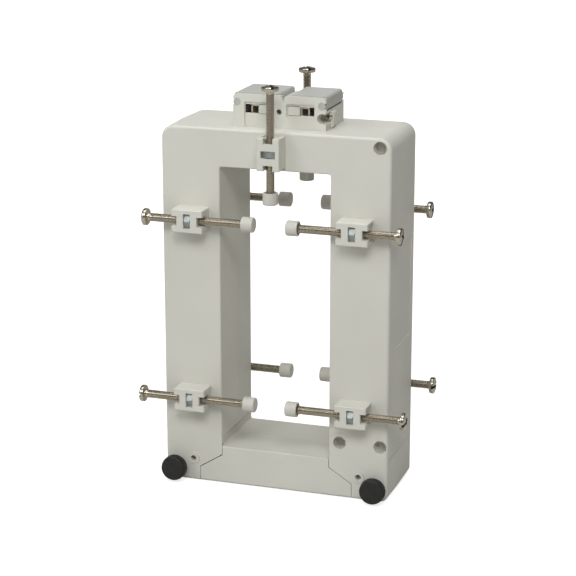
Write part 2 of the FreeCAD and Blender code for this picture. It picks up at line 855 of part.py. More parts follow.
def terminal_base():
    """Moulded body with two chambers, wire openings, chutes and ears for the covers."""
    x = block_half_width
    z = seat_z
    inner_front = -block_front + block_front_wall
    inner_back = block_back - block_wall
    body = box(-x, x, -block_front, block_back, z, z + block_side_height)
    for x0, x1 in ((-x + block_wall, block_gap_left), (block_gap_right, x - block_wall)):
        body = body.cut(box(x0, x1, inner_front, inner_back, z + block_floor, seat_z + block_front_height))
    front = rounded_prism(-x, x, z, z + block_front_height, block_corner_radius, -block_front, inner_front)
    foot = box(-x, x, -block_front, inner_front, z, z + 2 * block_corner_radius)
    partition = box(block_gap_left, block_gap_right, -block_front, inner_back, z, z + partition_height)
    shapes = [body, front, foot, partition, corner_block(), half_turned(corner_block())]
    half_cage = cage_width / 2
    ear_front = cover_back + cover_clearance
    right_shapes = [box(x - block_lip_thickness, x, inner_front, block_back, z, z + block_lip_height),
                    box(x - pivot_ear_width, x, ear_front, block_back, z, z + pivot_ear_height),
                    box(cage_x - half_cage, cage_x + half_cage, inner_front, cage_start() + cage_length,
                        z, z + cage_bottom)]
    for shape in right_shapes:
        shapes.append(shape)
        shapes.append(mirrored(shape))
    body = fused(shapes)
    cuts = corner_cuts() + [half_turned(cut) for cut in corner_cuts()]
    for cut in right_base_cuts():
        cuts.append(cut)
        cuts.append(mirrored(cut))
    cuts.append(rod(seal_hole_radius, V(0, -block_front - wall, z + seal_hole_z),
                    V(0, inner_front + block_wall, z + seal_hole_z)))
    vee_top = z + block_front_height + wall
    vee_half = vee_half_width * (vee_depth + wall) / vee_depth
    vee = [(vee_x - vee_half, vee_top), (vee_x, z + block_front_height - vee_depth),
           (vee_x + vee_half, vee_top)]
    cuts.append(prism(vee, -block_front - wall, inner_front))
    return as_solid(body.cut(fused(cuts)).removeSplitter())


def seal_lug(inner, front):
    """Lug with a hole for a sealing wire on the inner edge of a cover, just above the partition."""
    low = seat_z + partition_height + seal_lug_gap
    high = seat_z + cover_top - seal_lug_drop
    lug = box(inner - seal_lug_reach, inner + block_wall, front, front + seal_lug_thickness, low, high)
    middle = V(inner - seal_lug_reach / 2, front - wall, (low + high) / 2)
    return lug.cut(rod(seal_lug_hole_radius, middle, middle + V(0, 2 * wall, 0)))


def terminal_cover(side):
    """Sealable cover of one chamber: plate, skirts and the two pivot pins in one moulding."""
    z = seat_z
    top = z + cover_top
    low = top - cover_skirt
    outer = block_half_width
    inner = -block_gap_left if side < 0 else block_gap_right
    inner = inner + cover_clearance
    front = -block_front + block_front_wall + cover_clearance
    block = box(inner, outer, front, cover_back, low, top)
    upper = [edge for edge in block.Edges if edge.BoundBox.ZMin > top - cover_edge_radius]
    sides = [edge for edge in upper if edge.BoundBox.YLength > wall]
    block = block.makeFillet(cover_edge_radius, sides)
    room = box(inner + block_wall, outer - block_wall, front - wall, cover_back - block_wall, low - wall,
               top - cover_thickness)
    pin = rod(pivot_radius, V(pivot_x, -block_front, z + pivot_z), V(pivot_x, block_back, z + pivot_z))
    web = box(pivot_x - pivot_radius, outer - block_wall / 2, front, cover_back - block_wall / 2,
              z + pivot_z, top - cover_thickness / 2)
    parts = [block.cut(room), pin, web]
    if side < 0:
        parts.append(seal_lug(inner, front))
    cover = fused(parts)
    if side < 0:
        cover = cover.mirror(V(0, 0, 0), V(1, 0, 0))
    return as_solid(cover)


def entry_plug():
    """Right-hand blank that closes the unused wire entry."""
    y0 = -block_front + recess_depth / 2
    return wire_entry(plug_inner_x, plug_outer_x, opening_bottom, opening_top, plug_corner_radius,
                      y0, y0 + plug_thickness)


def cage_start():
    return -block_front + block_front_wall + cage_front_gap


def terminal_cage():
    """Right-hand box clamp with a tunnel for the wire and a hole for its screw."""
    x0 = cage_x - cage_width / 2
    z0 = seat_z + cage_bottom
    y0 = cage_start()
    cage = box(x0, x0 + cage_width, y0, y0 + cage_length, z0, z0 + cage_height)
    tunnel = box(x0 + cage_wall, x0 + cage_width - cage_wall, y0 - wall, y0 + cage_length + wall,
                 z0 + cage_wall, z0 + cage_height - cage_wall)
    hole_y = y0 + cage_length / 2
    hole = rod(terminal_screw_radius + stud_bore_clearance, V(cage_x, hole_y, z0 + cage_height / 2),
               V(cage_x, hole_y, z0 + cage_height + wall))
    return cage.cut(tunnel).cut(hole)


def terminal_screw():
    """Right-hand terminal screw, shown backed off above its cage."""
    y = cage_start() + cage_length / 2
    under = seat_z + cage_bottom + cage_height + terminal_head_lift
    shank = rod(terminal_screw_radius, V(cage_x, y, under - terminal_shank), V(cage_x, y, under))
    head = rod(terminal_head_radius, V(cage_x, y, under), V(cage_x, y, under + terminal_head_height))
    return fused([shank, head])


def block_screw():
    """Right-hand pan-head screw that holds a corner of the terminal block."""
    z = seat_z + block_screw_z
    under = groove_end()
    rim = under - block_screw_head_height + block_screw_head_rim
    head = rod(block_screw_head_radius, V(block_screw_x, rim, z), V(block_screw_x, under, z))
    crown = Part.makeCone(block_screw_head_radius, block_screw_head_radius - 2 * block_screw_head_rim,
                          block_screw_head_rim, V(block_screw_x, rim, z), V(0, -1, 0))
    end = under + block_screw_length
    shank = rod(block_screw_radius, V(block_screw_x, under, z), V(block_screw_x, end, z))
    return fused([head, crown, shank])


# Output

def both_sides(name, shape):
    """A right-hand piece and its mirror image, as two named pieces."""
    return {"right_" + name: shape, "left_" + name: mirrored(shape)}


def all_pieces():
    pieces = {
        "front_shell": upper_shell(front_y),
        "rear_shell": upper_shell(back_y),
        "yoke_front_shell": yoke_shell(front_y),
        "yoke_rear_shell": yoke_shell(back_y),
        "upper_core": upper_core(),
        "yoke_core": yoke_core(),
        "winding_link": winding_link(),
        "yoke_spring": yoke_spring(),
        "terminal_base": terminal_base(),
        "right_terminal_cover": terminal_cover(1),
        "left_terminal_cover": terminal_cover(-1),
        "terminal_base_screws": Part.makeCompound([block_screw(), half_turned(block_screw())]),
        "thumb_screw_bushes": Part.makeCompound([stud_insert(), mirrored(stud_insert())]),
    }
    pieces.update(both_sides("bobbin", bobbin()))
    pieces.update(both_sides("winding", winding()))
    pieces.update(both_sides("lead", lead()))
    pieces.update(both_sides("entry_plug", entry_plug()))
    pieces.update(both_sides("terminal_cage", terminal_cage()))
    pieces.update(both_sides("terminal_screw", terminal_screw()))
    pieces.update(both_sides("thumb_knob", knob()))
    pieces.update(both_sides("thumb_stud", stud()))
    nuts = []
    for name, centre, along, out, reach, length in clamp_places():
        pieces[name + "_screw"] = placed(clamp_screw(reach, length), centre, along, out)
        pieces[name + "_cap"] = placed(clamp_cap(reach, length), centre, along, out)
        nuts.append(placed(clamp_nut(), centre, along, out))
    pieces["clamp_nuts"] = Part.makeCompound(nuts)
    return pieces


def main():
    os.makedirs("parts", exist_ok=True)
    for name, shape in all_pieces().items():
        shape.exportStep("parts/" + name + ".step")
        low = shape.BoundBox
        print("%-26s solids %2d volume %10.1f valid %s  x %.2f %.2f y %.2f %.2f z %.2f %.2f" % (
            name, len(shape.Solids), shape.Volume, shape.isValid(),
            low.XMin, low.XMax, low.YMin, low.YMax, low.ZMin, low.ZMax))


main()
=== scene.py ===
# Looks of the split-core current transformer: materials, detailed screws, nuts, caps and
# knobs, with the studio and the camera. Metres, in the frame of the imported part.

import json
import math
from collections import namedtuple

import bmesh
import bpy
from mathutils import Matrix, Vector

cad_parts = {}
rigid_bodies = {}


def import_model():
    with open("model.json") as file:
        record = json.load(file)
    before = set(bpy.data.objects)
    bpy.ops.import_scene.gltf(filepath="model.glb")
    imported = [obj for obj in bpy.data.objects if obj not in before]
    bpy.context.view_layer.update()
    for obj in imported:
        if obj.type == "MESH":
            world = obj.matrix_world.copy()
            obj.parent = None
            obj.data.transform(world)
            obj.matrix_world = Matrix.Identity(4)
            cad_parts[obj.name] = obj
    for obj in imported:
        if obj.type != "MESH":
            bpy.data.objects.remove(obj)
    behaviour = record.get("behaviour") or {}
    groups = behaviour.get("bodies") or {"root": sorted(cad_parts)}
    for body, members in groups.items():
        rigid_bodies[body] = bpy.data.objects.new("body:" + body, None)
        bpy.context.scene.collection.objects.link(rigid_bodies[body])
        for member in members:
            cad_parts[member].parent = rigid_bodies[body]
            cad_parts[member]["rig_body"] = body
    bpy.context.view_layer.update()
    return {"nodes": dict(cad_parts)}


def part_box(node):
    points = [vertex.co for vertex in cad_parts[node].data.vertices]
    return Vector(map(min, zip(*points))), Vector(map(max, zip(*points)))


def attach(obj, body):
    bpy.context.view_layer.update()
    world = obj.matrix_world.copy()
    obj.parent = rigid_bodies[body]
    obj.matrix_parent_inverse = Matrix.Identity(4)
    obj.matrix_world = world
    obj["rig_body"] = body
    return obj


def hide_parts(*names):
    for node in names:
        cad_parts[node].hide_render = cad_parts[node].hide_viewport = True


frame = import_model()
nodes = frame["nodes"]

MM = 0.001

# Camera, fitted to points of the photograph
IMAGE_WIDTH = 576
FOCAL_PIXELS = 1937.8
SENSOR_WIDTH = 36.0
CAMERA_AZIMUTH = math.radians(18.3)
CAMERA_ELEVATION = math.radians(15.77)
CAMERA_DISTANCE = 1373.4 * MM
CAMERA_TARGET = Vector((-0.8, 0, 140.45)) * MM

# Kinds of screw: the thread, the smooth neck under the head, the head and its recess
Screw = namedtuple("Screw", "radius depth pitch neck_radius neck_length "
                            "head_height slot_width cross_reach slotted")
CLAMP_SCREW = Screw(
    radius=2.95 * MM, depth=0.6 * MM, pitch=1.0 * MM, neck_radius=2.85 * MM, neck_length=1.6 * MM,
    head_height=3.9 * MM, slot_width=2.0 * MM, cross_reach=3.4 * MM, slotted=True)
BLOCK_SCREW = Screw(
    radius=1.25 * MM, depth=0.3 * MM, pitch=0.8 * MM, neck_radius=1.25 * MM, neck_length=1.0 * MM,
    head_height=2.0 * MM, slot_width=0.9 * MM, cross_reach=1.6 * MM, slotted=False)
TERMINAL_SCREW = Screw(
    radius=2.0 * MM, depth=0.35 * MM, pitch=0.7 * MM, neck_radius=1.7 * MM, neck_length=0.6 * MM,
    head_height=2.4 * MM, slot_width=1.0 * MM, cross_reach=1.6 * MM, slotted=True)

# Threads: steps round one turn, and where root and crest lie as shares of the pitch
THREAD_STEPS = 18
ROOT_END = 0.12
CREST_START = 0.44
CREST_END = 0.68
TIP_LENGTH = 0.8 * MM
TIP_SHARE = 0.85
NECK_SINK = 0.1 * MM

# The clamp screws come in lengths that differ by this step
LENGTH_STEP = 5.0 * MM

# Pan heads: height of the side and of its lower edge as shares of the head's height, and the
# rounding of the upper edge as a share of its radius
SIDE_SHARE = 0.76
EDGE_SHARE = 0.2
BLEND_SHARE = 0.11
EDGE_STEPS = 3
BLEND_STEPS = 4
CROWN_STEPS = 6

# Recess: heights of its floor and of its cutters' top as shares of the head's height, the floor of
# the cross as a share of the slot's, and the cross's half length and half width at floor and top as
# shares of the reach and of half the slot's width
SLOT_FLOOR_SHARE = 0.46
CUTTER_SHARE = 1.4
CROSS_FLOOR_SHARE = 0.7
CROSS_FOOT = (0.4, 0.6)
CROSS_TOP = (1.35, 1.15)

# Faces of a head take the dark recess metal, painted shade for the recess's own shadow, from this share of the
# slot's floor to this far under the crown
PAINTED_SHADE_START = 0.6
PAINTED_SHADE_BELOW_CROWN = 0.1 * MM

# Nuts, and the turned shape that takes off their corners: its radius at the ends as a share of the
# width across flats, its radius outside as a share of the corners' and how far it passes the ends
NUT_FLATS = 10.0 * MM
NUT_HEIGHT = 4.8 * MM
TURNED_FACE = 0.47
TURNED_REACH = 1.2
TURNED_PAST = 1.01
TURNED_ANGLE = math.radians(30)

# Caps
CAP_FLOOR = 3.0 * MM
CAP_BORE = 3.05 * MM
CAP_MOUTH = 4.0 * MM
CAP_MOUTH_DEPTH = 2.4 * MM
CAP_ROUNDING = 0.9 * MM
CAP_LIP = 0.45 * MM

# Thumb knobs, along their axis from the front disc to the housing
KNOB_THICKNESS = 7.5 * MM
DISC_RADIUS = 8.6 * MM
DISC_THICKNESS = 0.9 * MM
DISC_BEVEL = 0.4 * MM
DIMPLE_RADIUS = 0.6 * MM
DIMPLE_FLOOR = 0.3 * MM
DIMPLE_DEPTH = 0.25 * MM
KNOB_NECK = 5.5 * MM
KNURL_TEETH = 60
KNURL_DEPTH = 0.45 * MM
KNURL_RUNOUT = 0.3 * MM
STEPS_PER_TOOTH = 4

# Meshes: steps round a turned piece, edges that stay sharp, and distances that merge
SEGMENTS = 48
SHARP_ANGLE = math.radians(35)
DEGENERATE = 1e-7
SAME_POINT = 1e-6

# Features per metre of the textures, and the range that their noise mostly keeps to
PLASTIC_GRAIN = 1400
METAL_PATCHES = 420
METAL_MARKS = 2600
FLOOR_CLOUDS = 3
NOISE_LOW = 0.3
NOISE_HIGH = 0.7

# How far the roughness varies: both ways with the grain of plastic, and down and up with the marks
# on metal
GRAIN_SPREAD = 0.05
MARKS_DOWN = 0.08
MARKS_UP = 0.12

PLASTIC_SPECULAR = 0.4
MARK_DEPTH = 0.01 * MM
BAND_DISTORTION = 0.3

# Radians that a wave texture runs through per metre at a scale of one
WAVE_RADIANS = 20

HOUSING_GREY = (0.655, 0.65, 0.59)

# Studio floor: half its width, its drop below the part, its tones, and the glow that the camera
# sees on it, which rises from near to far between two distances from the middle
FLOOR_HALF = 6.0
FLOOR_DROP = 0.2 * MM
FLOOR_TONES = ((0.54, 0.535, 0.51), (0.55, 0.545, 0.52))
FLOOR_ROUGHNESS = 0.9
GLOW_NEAR = 0.76
GLOW_FAR = 1.0
GLOW_START = 0.25
GLOW_END = 1.6

# Share of the floor's glow that mirrored rays meet
MIRRORED_GLOW = 0.1

# Lamps: name, place, point they face, size, and power in watts
LAMPS = (
    ("key", (0.6, -1.9, 1.85), (0, 0, 0.13), (1.3, 0.8), 29.5),
    ("fill", (-1.3, -1.7, 1.6), (0, 0, 0.13), (1.2, 1.2), 16),
    ("top", (-0.1, -0.1, 2.4), (0, 0, 0.1), (1.4, 1.4), 20),
)

# Ways to the bright side of the studio and to the middle of the white backdrop
BRIGHT_WAY = (-0.45, 0.89, 0)
BACKDROP_WAY = (-0.30, 0.92, -0.25)

# Degrees that the slot of each clamp screw stands turned, as each was left when last tightened
SLOT_TURNS = {
    "front_right_upper": 64, "front_right_lower": 18, "front_left_upper": 38, "front_left_lower": 91,
    "back_right_upper": 75, "back_right_lower": 0, "back_left_upper": 144, "back_left_lower": 17,
    "front_top": 34, "back_top": 34,
}

SIDES = ("left", "right")
FRONT = Vector((0, -1, 0))
BACK = Vector((0, 1, 0))
UP = Vector((0, 0, 1))

# Ways that the clamp screws face, by the side in their names
SIDE_AXES = {"right": Vector((1, 0, 0)), "left": Vector((-1, 0, 0)), "top": UP}


# Materials

def start_material(name, roughness, metallic=0.0):
    """New node material and its shader, with a texture coordinate that stays on the object."""
    material = bpy.data.materials.new(name)
    material.use_nodes = True
    tree = material.node_tree
    shader = tree.nodes["Principled BSDF"]
    shader.inputs["Metallic"].default_value = metallic
    shader.inputs["Roughness"].default_value = roughness
    coordinate = tree.nodes.new("ShaderNodeTexCoord")
    return material, tree, shader, coordinate.outputs["Object"]


def noise(tree, coordinate, scale, detail=3.0, stretch=(1, 1, 1)):
    """Noise with its scale in features per metre, stretched along the axes."""
    mapping = tree.nodes.new("ShaderNodeMapping")
    mapping.inputs["Scale"].default_value = stretch
    texture = tree.nodes.new("ShaderNodeTexNoise")
    texture.inputs["Scale"].default_value = scale
    texture.inputs["Detail"].default_value = detail
    tree.links.new(coordinate, mapping.inputs["Vector"])
    tree.links.new(mapping.outputs["Vector"], texture.inputs["Vector"])
    return texture.outputs["Fac"]


def colour_between(tree, factor, first, second, low=0.35, high=0.65):
    """Colour that runs from first to second as the factor rises from low to high."""
    ramp = tree.nodes.new("ShaderNodeValToRGB")
    ramp.color_ramp.elements[0].position = low
    ramp.color_ramp.elements[1].position = high
    ramp.color_ramp.elements[0].color = (*first, 1)
    ramp.color_ramp.elements[1].color = (*second, 1)
    tree.links.new(factor, ramp.inputs["Fac"])
    return ramp.outputs["Color"]


def value_between(tree, value, start, end, low, high):
    """Number that runs from low to high as a value rises from start to end."""
    span = tree.nodes.new("ShaderNodeMapRange")
    span.inputs["From Min"].default_value = start
    span.inputs["From Max"].default_value = end
    span.inputs["To Min"].default_value = low
    span.inputs["To Max"].default_value = high
    tree.links.new(value, span.inputs["Value"])
    return span.outputs["Result"]


def vary_roughness(tree, shader, texture, low, high):
    """Roughness that follows a noise texture."""
    varied = value_between(tree, texture, NOISE_LOW, NOISE_HIGH, low, high)
    tree.links.new(varied, shader.inputs["Roughness"])


def add_bump(tree, shader, height, depth):
    """Bump of a real depth in metres."""
    bump = tree.nodes.new("ShaderNodeBump")
    bump.inputs["Distance"].default_value = depth
    tree.links.new(height, bump.inputs["Height"])
    tree.links.new(bump.outputs["Normal"], shader.inputs["Normal"])


def scaled(colour, factor):
    return tuple(min(channel * factor, 1.0) for channel in colour)


def moulded_plastic(name, colour, roughness, mottle=0.03, grain=0.03 * MM, cloud_scale=14):
    """Moulded plastic: faint clouds of tone from the flow of the melt and a fine spark-eroded grain."""
    material, tree, shader, coordinate = start_material(name, roughness)
    clouds = noise(tree, coordinate, cloud_scale)
    tint = colour_between(tree, clouds, scaled(colour, 1 - mottle), scaled(colour, 1 + mottle))
    tree.links.new(tint, shader.inputs["Base Color"])
    fine = noise(tree, coordinate, PLASTIC_GRAIN, detail=2)
    vary_roughness(tree, shader, fine, roughness - GRAIN_SPREAD, roughness + GRAIN_SPREAD)
    add_bump(tree, shader, fine, grain)
    shader.inputs["Specular IOR Level"].default_value = PLASTIC_SPECULAR
    return material


def plated_metal(name, colour, roughness, stretch=(1, 1, 1), tone=0.06):
    """Plated or drawn metal: uneven tone, fine rub marks and a roughness that varies with them."""
    material, tree, shader, coordinate = start_material(name, roughness, metallic=1.0)
    patches = noise(tree, coordinate, METAL_PATCHES, detail=4)
    tint = colour_between(tree, patches, scaled(colour, 1 - tone), scaled(colour, 1 + tone / 2))
    tree.links.new(tint, shader.inputs["Base Color"])
    marks = noise(tree, coordinate, METAL_MARKS, detail=3, stretch=stretch)
    vary_roughness(tree, shader, marks, roughness - MARKS_DOWN, roughness + MARKS_UP)
    add_bump(tree, shader, marks, MARK_DEPTH)
    return material


def banded(name, first, second, roughness, metallic, per_metre, direction, depth):
    """Material in fine parallel bands, as wound strip or wound wire shows."""
    material, tree, shader, coordinate = start_material(name, roughness, metallic)
    bands = tree.nodes.new("ShaderNodeTexWave")
    bands.wave_type = "BANDS"
    bands.bands_direction = direction
    bands.inputs["Scale"].default_value = per_metre * 2 * math.pi / WAVE_RADIANS
    bands.inputs["Distortion"].default_value = BAND_DISTORTION
    tree.links.new(coordinate, bands.inputs["Vector"])
    tint = colour_between(tree, bands.outputs["Fac"], first, second, low=0.1, high=0.8)
    tree.links.new(tint, shader.inputs["Base Color"])
    add_bump(tree, shader, bands.outputs["Fac"], depth)
    return material


materials = {
    "housing": moulded_plastic("housing_plastic", HOUSING_GREY, 0.5),
    "terminal": moulded_plastic("terminal_block_plastic", scaled(HOUSING_GREY, 1.05), 0.46),
    "cover": moulded_plastic("cover_plastic", (0.465, 0.475, 0.45), 0.42, cloud_scale=30),
    "cap": moulded_plastic("cap_plastic", (0.59, 0.58, 0.53), 0.45, cloud_scale=60),
    "plug": moulded_plastic("plug_plastic", scaled(HOUSING_GREY, 1.05), 0.45, cloud_scale=60),
    "knob": moulded_plastic("knob_plastic", (0.0155, 0.0155, 0.0135), 0.45, mottle=0.12, cloud_scale=90),
    "bobbin": moulded_plastic("bobbin_plastic", (0.05, 0.05, 0.055), 0.5, mottle=0.1),
    "nickel": plated_metal("nickel_plating", (0.56, 0.515, 0.435), 0.2),
    # Dark metal for the faces inside a screw head's recess: painted shade that stands in for the shadow deep
    # in the recess
    "recess": plated_metal("recess_plating", (0.15, 0.13, 0.10), 0.45),
    "zinc": plated_metal("zinc_plating", (0.43, 0.47, 0.47), 0.5),
    "cage": plated_metal("cage_plating", (0.72, 0.65, 0.52), 0.5),
    "brass": plated_metal("brass", (0.72, 0.53, 0.25), 0.3),
    "spring": plated_metal("spring_steel", (0.42, 0.42, 0.44), 0.32, stretch=(1, 8, 8)),
    "lead": moulded_plastic("lead_insulation", (0.03, 0.03, 0.032), 0.45, mottle=0.1),
    "core": banded("wound_strip", (0.16, 0.16, 0.17), (0.34, 0.34, 0.36), roughness=0.4, metallic=1.0,
                   per_metre=1500, direction="X", depth=0.02 * MM),
    "copper": banded("enamelled_wire", (0.22, 0.06, 0.02), (0.62, 0.25, 0.1), roughness=0.3, metallic=0.8,
                     per_metre=900, direction="Z", depth=0.2 * MM),
}

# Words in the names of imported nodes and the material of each; the first word found counts
NODE_MATERIALS = (
    ("cover", "cover"), ("plug", "plug"), ("cap", "cap"), ("knob", "knob"), ("screw", "nickel"),
    ("terminal_base", "terminal"), ("cage", "cage"), ("bobbin", "bobbin"), ("winding", "copper"),
    ("lead", "lead"), ("core", "core"), ("spring", "spring"), ("bushes", "brass"), ("nuts", "zinc"),
    ("shell", "housing"),
)


def material_of(node_name):
    """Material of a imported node, by the words in its name."""
    return next((material for word, material in NODE_MATERIALS if word in node_name), "nickel")


for node_name in nodes:
    for slot in nodes[node_name].material_slots:
        slot.material = materials[material_of(node_name)]


# Mesh helpers

def mesh_from(name, vertices, faces, material_name):
    """Mesh with outward faces, smooth apart from its sharp edges."""
    mesh = bpy.data.meshes.new(name)
    mesh.from_pydata([tuple(v) for v in vertices], [], faces)
    work = bmesh.new()
    work.from_mesh(mesh)
    bmesh.ops.dissolve_degenerate(work, dist=DEGENERATE, edges=work.edges)
    bmesh.ops.recalc_face_normals(work, faces=work.faces)
    work.to_mesh(mesh)
    work.free()
    mesh.materials.append(materials[material_name])
    smooth(mesh)
    return mesh


def smooth(mesh):
    mesh.shade_smooth()
    mesh.set_sharp_from_angle(angle=SHARP_ANGLE)


def turned(profile):
    """Surface of revolution about X of points (x, radius); a zero radius closes it on the axis."""
    return swept([(x, radius, 0) for x, radius in profile], SEGMENTS)


def swept(profile, segments, teeth=1):
    """Surface about X of points (x, radius, depth), where depth is that of teeth all round."""
    vertices = []
    faces = []
    rings = []
    for x, radius, depth in profile:
        if radius == 0:
            rings.append([len(vertices)] * segments)
            vertices.append(Vector((x, 0, 0)))
            continue
        rings.append([len(vertices) + i for i in range(segments)])
        for i in range(segments):
            angle = 2 * math.pi * i / segments
            r = radius - depth * (0.5 - 0.5 * math.cos(teeth * angle))
            vertices.append(Vector((x, r * math.cos(angle), r * math.sin(angle))))
    for ring, following in zip(rings, rings[1:]):
        for i in range(segments):
            j = (i + 1) % segments
            face = [ring[i], ring[j], following[j], following[i]]
            faces.append(list(dict.fromkeys(face)))
    return vertices, faces


def arc(centre_x, centre_radius, radius, start, end, steps=6):
    """Points (x, radius) along an arc, angles in degrees from the X direction."""
    points = []
    for i in range(steps + 1):
        angle = math.radians(start + (end - start) * i / steps)
        points.append((centre_x + radius * math.cos(angle), centre_radius + radius * math.sin(angle)))
    return points


def thread(start, end, screw):
    """External thread along X as one helical strip of root, flanks and crest."""
    root = screw.radius - screw.depth
    profile = ((0.0, root), (ROOT_END, root), (CREST_START, screw.radius), (CREST_END, screw.radius))
    count = len(profile)
    total = int(round((end - start) / screw.pitch + 1) * THREAD_STEPS)
    vertices = []
    faces = []
    for k in range(total + 1):
        angle = 2 * math.pi * k / THREAD_STEPS
        for share, r in profile:
            x = min(max(start + screw.pitch * (k / THREAD_STEPS + share - 1), start), end)
            vertices.append(Vector((x, r * math.cos(angle), r * math.sin(angle))))
    for k in range(total):
        for p in range(count):
            here = k * count + p
            beside = here + 1 if p + 1 < count else here + 1 - count + THREAD_STEPS * count
            if beside + count < len(vertices):
                faces.append([here, beside, beside + count, here + count])
    return vertices, faces


def box_mesh(name, corners, matrix=Matrix()):
    """Closed block given by four (y, z) corners at one x and four at another, in the same order."""
    (x0, near), (x1, far) = corners
    vertices = [matrix @ Vector((x, y, z)) for x, end in ((x0, near), (x1, far)) for y, z in end]
    faces = [[0, 1, 2, 3], [4, 5, 6, 7]]
    faces += [[i, (i + 1) % 4, 4 + (i + 1) % 4, 4 + i] for i in range(4)]
    return mesh_from(name, vertices, faces, "nickel")


def rectangle(half_y, half_z):
    return [(-half_y, -half_z), (half_y, -half_z), (half_y, half_z), (-half_y, half_z)]


def combined(mesh, others, operation):
    """Mesh with the others taken out of it, or with only what it shares with each of them."""
    scratch = bpy.data.objects.new("scratch", mesh)
    bpy.context.scene.collection.objects.link(scratch)
    helpers = []
    for other in others:
        helper = bpy.data.objects.new("helper", other)
        bpy.context.scene.collection.objects.link(helper)
        helpers.append(helper)
        modifier = scratch.modifiers.new("shape", "BOOLEAN")
        modifier.operation = operation
        modifier.solver = "EXACT"
        modifier.object = helper
    bpy.context.view_layer.update()
    evaluated = scratch.evaluated_get(bpy.context.evaluated_depsgraph_get())
    result = bpy.data.meshes.new_from_object(evaluated)
    for helper in helpers + [scratch]:
        bpy.data.objects.remove(helper)
    result.materials.clear()
    result.materials.append(mesh.materials[0])
    smooth(result)
    return result


def joined(name, placed):
    """One mesh made of several, each with its placement, in the materials of the first."""
    work = bmesh.new()
    for mesh, matrix in placed:
        copy = mesh.copy()
        copy.transform(matrix)
        work.from_mesh(copy)
    result = bpy.data.meshes.new(name)
    work.to_mesh(result)
    work.free()
    for material in placed[0][0].materials:
        result.materials.append(material)
    smooth(result)
    return result


def add_piece(name, mesh, matrix, body, replaced):
    """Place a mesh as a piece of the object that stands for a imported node."""
    piece = bpy.data.objects.new(name, mesh)
    bpy.context.scene.collection.objects.link(piece)
    piece.matrix_world = matrix
    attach(piece, body)
    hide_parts(replaced)


def body_of_node(node_name):
    return nodes[node_name]["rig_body"]


def frame_along(axis, origin):
    """Placement whose X lies along the axis, with its origin at the given point."""
    turn = Vector((1, 0, 0)).rotation_difference(axis).to_matrix().to_4x4()
    return Matrix.Translation(origin) @ turn


def solids_of(node_name):
    """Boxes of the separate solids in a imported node, each as its low and high corner."""
    work = bmesh.new()
    work.from_mesh(nodes[node_name].data)
    bmesh.ops.remove_doubles(work, verts=work.verts, dist=SAME_POINT)
    boxes = []
    seen = set()
    for vertex in work.verts:
        if vertex in seen:
            continue
        island = [vertex]
        seen.add(vertex)
        for member in island:
            for edge in member.link_edges:
                other = edge.other_vert(member)
                if other not in seen:
                    seen.add(other)
                    island.append(other)
        low = Vector([min(v.co[i] for v in island) for i in range(3)])
        high = Vector([max(v.co[i] for v in island) for i in range(3)])
        boxes.append((low, high))
    work.free()
    return boxes


# Screws

def crown_height(height, side, radius, out):
    """Height of a head's ball-shaped crown at a distance from its axis."""
    rise = height - side
    ball = (radius * radius + rise * rise) / (2 * rise)
    return height - ball + math.sqrt(ball * ball - out * out)


def pan_head(radius, screw):
    """Pan head above x = 0 with a cross recess, and a straight slot through it if the screw has one."""
    height = screw.head_height
    side = height * SIDE_SHARE
    edge = height * EDGE_SHARE
    blend = radius * BLEND_SHARE
    shoulder = radius - blend
    profile = [(0, 0)] + arc(edge, radius - edge, edge, 180, 90, EDGE_STEPS)
    corner = (Vector((side - blend, radius)), Vector((side, radius)),
              Vector((crown_height(height, side, radius, shoulder), shoulder)))
    for i in range(BLEND_STEPS + 1):
        share = i / BLEND_STEPS
        rising = corner[0].lerp(corner[1], share)
        profile.append(tuple(rising.lerp(corner[1].lerp(corner[2], share), share)))
    for i in range(1, CROWN_STEPS + 1):
        out = shoulder * (1 - i / CROWN_STEPS)
        profile.append((crown_height(height, side, radius, out), out))
    head = mesh_from("head", *turned(profile), "nickel")
    half = screw.slot_width / 2
    floor = height * SLOT_FLOOR_SHARE
    above = height * CUTTER_SHARE
    foot = rectangle(screw.cross_reach * CROSS_FOOT[0], half * CROSS_FOOT[1])
    top = rectangle(screw.cross_reach * CROSS_TOP[0], half * CROSS_TOP[1])
    wing = [(floor * CROSS_FLOOR_SHARE, foot), (above, top)]
    cutters = [box_mesh("wing", wing), box_mesh("wing", wing, Matrix.Rotation(math.pi / 2, 4, "X"))]
    if screw.slotted:
        slot = rectangle(2 * radius, half)
        cutters.append(box_mesh("slot", [(floor, slot), (above, slot)]))
    head = combined(head, cutters, "DIFFERENCE")
    # Faces deep in the cross recess and slot take the dark metal: painted shade
    head.materials.append(materials["recess"])
    for face in head.polygons:
        out = math.hypot(face.center.y, face.center.z)
        highest = crown_height(height, side, radius, out) - PAINTED_SHADE_BELOW_CROWN
        if out < shoulder and floor * PAINTED_SHADE_START < face.center.x < highest:
            face.material_index = 1
    return head


def screw_mesh(head, length, screw, head_turn=0):
    """Screw from its tip at minus its length to its under-head face at x = 0, its head turned in degrees."""
    root = screw.radius - screw.depth
    neck_start = -screw.neck_length
    shank = mesh_from("shank", *thread(TIP_LENGTH - length, neck_start, screw), "nickel")
    neck = mesh_from("neck", *turned([(neck_start - screw.pitch, root), (neck_start, screw.neck_radius),
                                      (0, screw.neck_radius), (NECK_SINK, 0)]), "nickel")
    point = mesh_from("point", *turned([(-length, 0), (-length, root * TIP_SHARE), (TIP_LENGTH - length, root),
                                        (2 * TIP_LENGTH - length, root)]), "nickel")
    turned_head = Matrix.Rotation(math.radians(head_turn), 4, "X")
    still = Matrix()
    return joined("screw", [(head, turned_head), (shank, still), (neck, still), (point, still)])


def is_clamp_screw(node_name):
    return node_name.startswith(("front_", "back_")) and node_name.endswith("_screw")


def clamp_axis(clamp):
    return next(SIDE_AXES[side] for side in SIDE_AXES if side in clamp)


